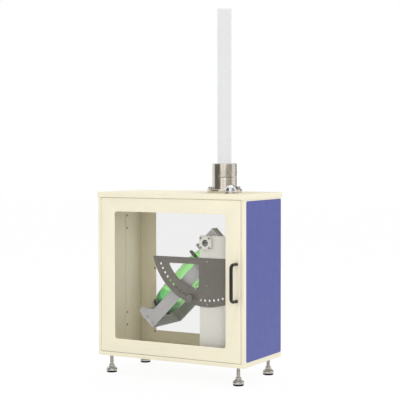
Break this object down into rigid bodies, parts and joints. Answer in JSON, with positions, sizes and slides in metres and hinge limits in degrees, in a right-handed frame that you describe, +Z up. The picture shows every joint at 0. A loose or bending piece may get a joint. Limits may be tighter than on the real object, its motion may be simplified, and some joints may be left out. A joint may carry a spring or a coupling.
{
  "type": "bottle cap impact tester",
  "caption": "Glazed bench cabinet on levelling feet with a hinged door, a tilting bottle cradle indexed by a pin, a toggle clamp, and a clear drop tube on the lid for a steel ball.",
  "frame": {"origin": "on the floor, at the middle of the footprint, door handle included", "axes": "+X to the right of someone facing the door, +Y from the door towards the back, +Z up"},
  "size_m": [0.554, 0.308, 1.2045],
  "materials": {
    "cream_paint": "fine-textured cream powder coat",
    "column_paint": "light grey powder coat",
    "quadrant_paint": "dark warm grey coat",
    "arm_steel": "brushed stainless steel",
    "clamp_steel": "zinc-plated steel",
    "bright_steel": "ground steel",
    "bearing_steel": "dark bearing steel",
    "zinc_screws": "zinc plated",
    "nickel_collar": "satin nickel, turned",
    "clamp_chrome": "bright chrome",
    "ball_chrome": "polished ball steel",
    "blue_overlay": "satin blue sheet, bare",
    "black_plastic": "satin black moulding",
    "magnet_plastic": "dark magnet in its case",
    "black_rubber": "black rubber",
    "clear_pane": "clear sheet",
    "clear_tube": "clear tube, polished",
    "green_bottle": "clear green plastic",
    "green_cap": "green closure, ribbed"
  },
  "bodies": {
    "cabinet": {"base_pan": "cream_paint", "left_side_panel": "cream_paint", "right_side_panel": "cream_paint", "lid_cap": "cream_paint", "rear_frame": "cream_paint", "rear_pane": "clear_pane", "wall_liner": "cream_paint", "panel_screws": "zinc_screws", "side_overlay": "blue_overlay", "door_pivot_bushes": "bright_steel", "door_magnet": "magnet_plastic", "front_column": "column_paint", "rear_column": "column_paint", "column_screws": "zinc_screws", "quadrant_plate": "quadrant_paint", "quadrant_screws": "zinc_screws", "bearing_housings": "column_paint", "pivot_bearings": "bearing_steel", "bearing_screws": "zinc_screws", "tube_collar": "nickel_collar", "collar_clamp_screw": "bright_steel", "flange_screws": "bright_steel", "ball_seat": "nickel_collar", "foot_pads": "black_rubber", "foot_discs": "bright_steel", "foot_lock_nuts": "bright_steel"},
    "door": {"door_frame": "cream_paint", "pane_gasket": "black_rubber", "door_pane": "clear_pane", "pane_retainer": "cream_paint", "door_handle": "black_plastic", "handle_screws": "zinc_screws", "door_pivot_pins": "bright_steel", "strike_plate": "zinc_screws"},
    "cradle": {"front_arm": "arm_steel", "rear_arm": "arm_steel", "end_plate": "arm_steel", "neck_plate": "arm_steel", "bottle_yoke": "quadrant_paint", "cradle_screws": "zinc_screws", "stub_shafts": "bright_steel", "index_boss": "bright_steel", "clamp_body": "clamp_steel", "lever_pin": "bright_steel"},
    "lever": {"clamp_lever": "clamp_chrome"},
    "plunger": {"clamp_plunger": "bright_steel", "pressure_plate": "quadrant_paint", "plate_pad": "black_rubber"},
    "bottle": {"sample_bottle": "green_bottle", "sample_cap": "green_cap"},
    "ball": {"impact_ball": "ball_chrome"},
    "tube": {"drop_tube": "clear_tube"},
    "lock_pin": {"index_pin": "bright_steel", "index_knob": "clamp_chrome"},
    "foot_stud_1_body": {"foot_stud_1": "bright_steel"},
    "foot_stud_2_body": {"foot_stud_2": "bright_steel"},
    "foot_stud_3_body": {"foot_stud_3": "bright_steel"},
    "foot_stud_4_body": {"foot_stud_4": "bright_steel"}
  },
  "joints": [
    {"name": "door_hinge", "type": "hinge", "parent": "cabinet", "child": "door", "pos_m": [-0.2485, -0.108, 0.3315], "axis": [0, 0, -1], "range_deg": [0, 110]},
    {"name": "cradle_tilt", "type": "hinge", "parent": "cabinet", "child": "cradle", "pos_m": [0.126, 0.019, 0.449], "axis": [0, -1, 0], "range_deg": [-20, 30]},
    {"name": "index_pin_slide", "type": "slide", "parent": "cabinet", "child": "lock_pin", "axis": [0, 1, 0], "range_m": [-0.002, 0.007]},
    {"name": "clamp_lever_swing", "type": "hinge", "parent": "cradle", "child": "lever", "pos_m": [-0.15401, 0.019, 0.20293], "axis": [0, 1, 0], "range_deg": [0, 50]},
    {"name": "plunger_slide", "type": "slide", "parent": "cradle", "child": "plunger", "axis": [-0.7071, 0, -0.7071], "range_m": [0, 0.01]},
    {"name": "bottle_slide", "type": "slide", "parent": "cradle", "child": "bottle", "axis": [-0.7071, 0, -0.7071], "range_m": [0, 0.01]},
    {"name": "ball_lift", "type": "slide", "parent": "cabinet", "child": "ball", "axis": [0, 0, 1], "range_m": [0, 0.06]},
    {"name": "tube_slide", "type": "slide", "parent": "cabinet", "child": "tube", "axis": [0, 0, 1], "range_m": [0, 0.05]},
    {"name": "foot_turn_1", "type": "hinge", "parent": "cabinet", "child": "foot_stud_1_body", "pos_m": [-0.241, -0.087, 0.04], "axis": [0, 0, 1], "continuous": true},
    {"name": "foot_turn_2", "type": "hinge", "parent": "cabinet", "child": "foot_stud_2_body", "pos_m": [0.241, -0.087, 0.04], "axis": [0, 0, 1], "continuous": true},
    {"name": "foot_turn_3", "type": "hinge", "parent": "cabinet", "child": "foot_stud_3_body", "pos_m": [-0.241, 0.125, 0.04], "axis": [0, 0, 1], "continuous": true},
    {"name": "foot_turn_4", "type": "hinge", "parent": "cabinet", "child": "foot_stud_4_body", "pos_m": [0.241, 0.125, 0.04], "axis": [0, 0, 1], "continuous": true}
  ],
  "couplings": [
    {"joint": "clamp_lever_swing", "follows": "plunger_slide", "rad_per_m": 87.266},
    {"joint": "bottle_slide", "follows": "plunger_slide", "ratio": 1}
  ]
}
